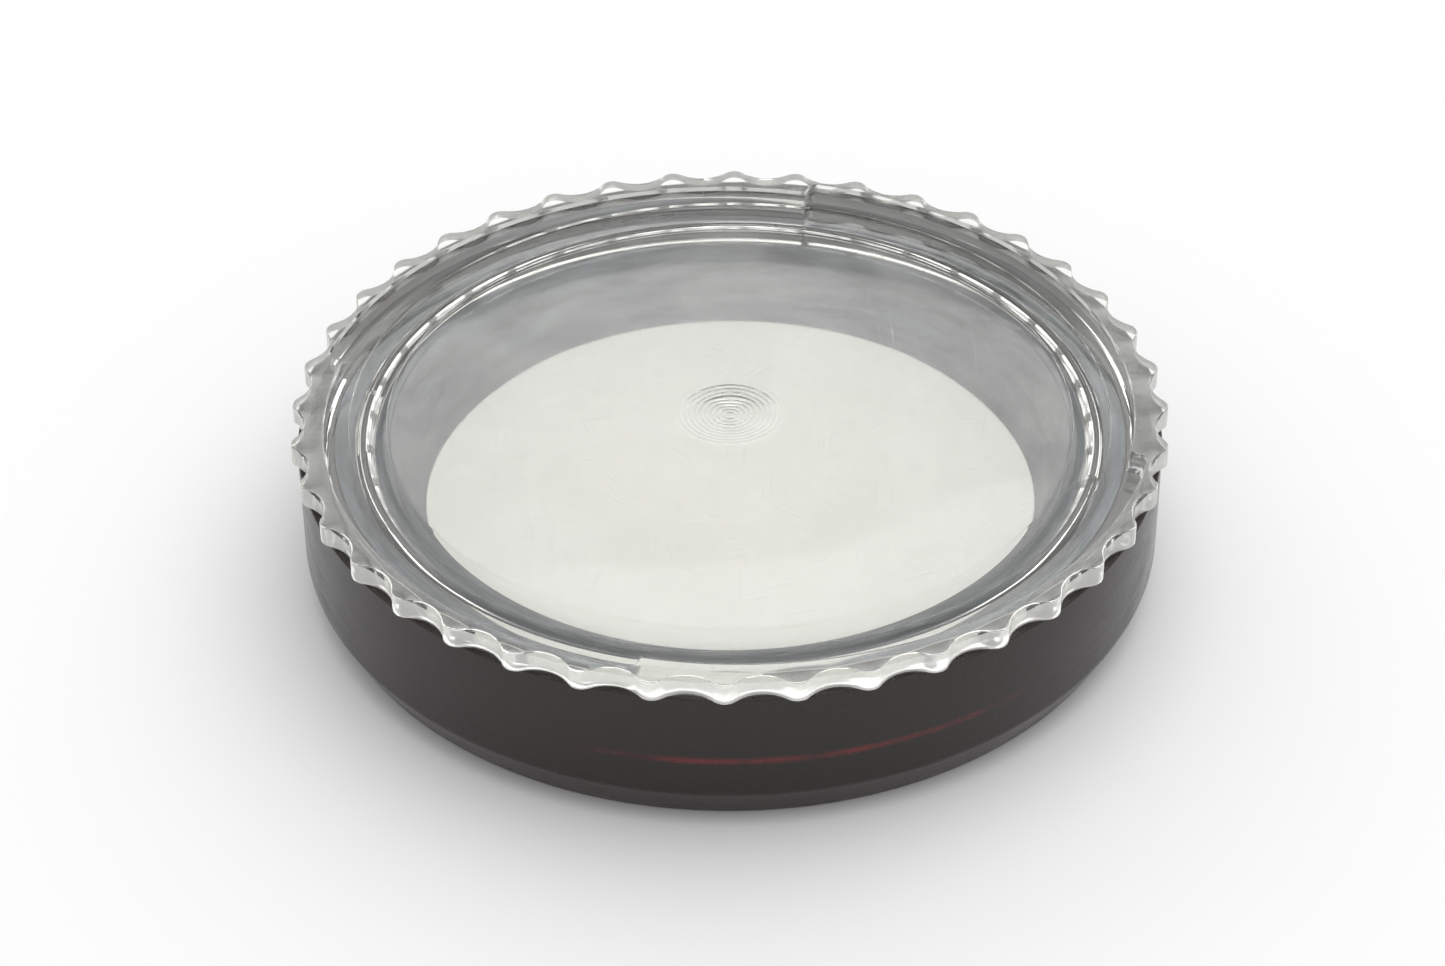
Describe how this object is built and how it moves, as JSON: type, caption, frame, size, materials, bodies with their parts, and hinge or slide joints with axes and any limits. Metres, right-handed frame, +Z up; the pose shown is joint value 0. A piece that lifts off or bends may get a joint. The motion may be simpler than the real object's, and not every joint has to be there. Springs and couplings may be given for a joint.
{
  "type": "darkroom safelight filter head",
  "caption": "Round safelight filter head: a ruby cup with an opal disc and a reflector cone, closed by a clear lobed cover that turns on spiral cams.",
  "frame": {"origin": "middle of the ruby cup's base, on the surface that it stands on", "axes": "+Z is up along the axis, from the ruby face to the clear cover; +X is to the right"},
  "size_m": [0.12, 0.12, 0.024],
  "materials": {
    "ruby_cup": "polished dark ruby acrylic",
    "opal_disc": "opal white acrylic",
    "reflector_ring": "spun sheet, dulled",
    "clear_cover": "clear acrylic, lightly scratched"
  },
  "bodies": {
    "cup": {"ruby_cup": "ruby_cup", "opal_disc": "opal_disc", "reflector_ring": "reflector_ring"},
    "cover": {"clear_cover": "clear_cover"}
  },
  "joints": [
    {"name": "cover_turn", "type": "hinge", "parent": "cup", "child": "cover", "pos_m": [0, 0, 0.021], "axis": [0, 0, 1], "range_deg": [0, 15]}
  ]
}
